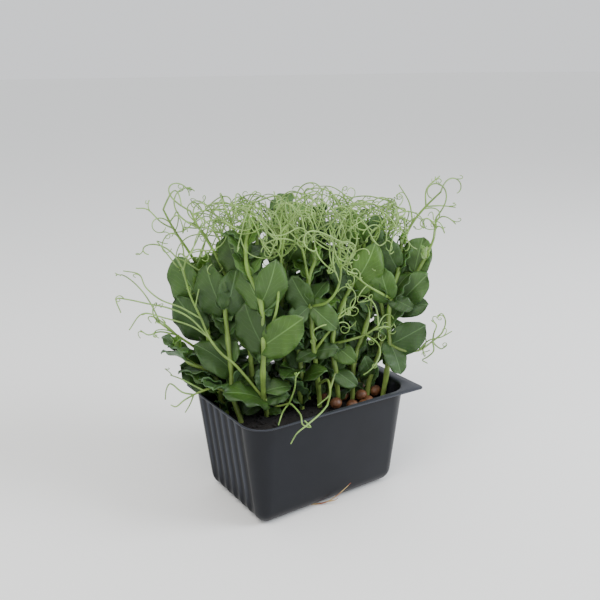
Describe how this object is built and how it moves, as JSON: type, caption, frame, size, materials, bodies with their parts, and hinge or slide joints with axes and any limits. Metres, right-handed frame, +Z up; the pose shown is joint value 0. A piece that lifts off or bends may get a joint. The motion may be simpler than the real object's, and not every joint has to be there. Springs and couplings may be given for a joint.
{
  "type": "pea shoot microgreens tray",
  "caption": "Ribbed black plastic punnet of growing medium with a dense stand of leafy, tendrilled pea shoots, ready to cut",
  "frame": {"origin": "middle of the tray's underside, on the surface that it stands on", "axes": "+X along the tray's long side, +Y to its back, +Z up"},
  "size_m": [0.1871, 0.1156, 0.1751],
  "materials": {
    "tray_plastic": "matt thermoformed black polypropylene",
    "growing_medium": "damp dark coir and peat",
    "pea_seed": "dull wrinkled seed coat",
    "pea_green": "waxy fresh green leaf and stem",
    "tendril_green": "pale green tendril",
    "dry_root": "dry straw-coloured root"
  },
  "bodies": {
    "root": {"tray": "tray_plastic", "growing_medium": "growing_medium", "pea_shoot_01": "pea_green", "pea_shoot_02": "pea_green", "pea_shoot_03": "pea_green", "pea_shoot_04": "pea_green", "pea_shoot_05": "pea_green", "pea_shoot_06": "pea_green", "pea_shoot_07": "pea_green", "pea_shoot_08": "pea_green", "pea_shoot_09": "pea_green", "pea_shoot_10": "pea_green", "pea_shoot_11": "pea_green", "pea_shoot_12": "pea_green", "pea_shoot_13": "pea_green", "pea_shoot_14": "pea_green", "pea_shoot_15": "pea_green", "pea_shoot_16": "pea_green", "pea_shoot_17": "pea_green", "pea_shoot_18": "pea_green", "pea_shoot_19": "pea_green", "pea_shoot_20": "pea_green", "pea_shoot_21": "pea_green", "pea_shoot_22": "pea_green"}
  },
  "joints": []
}
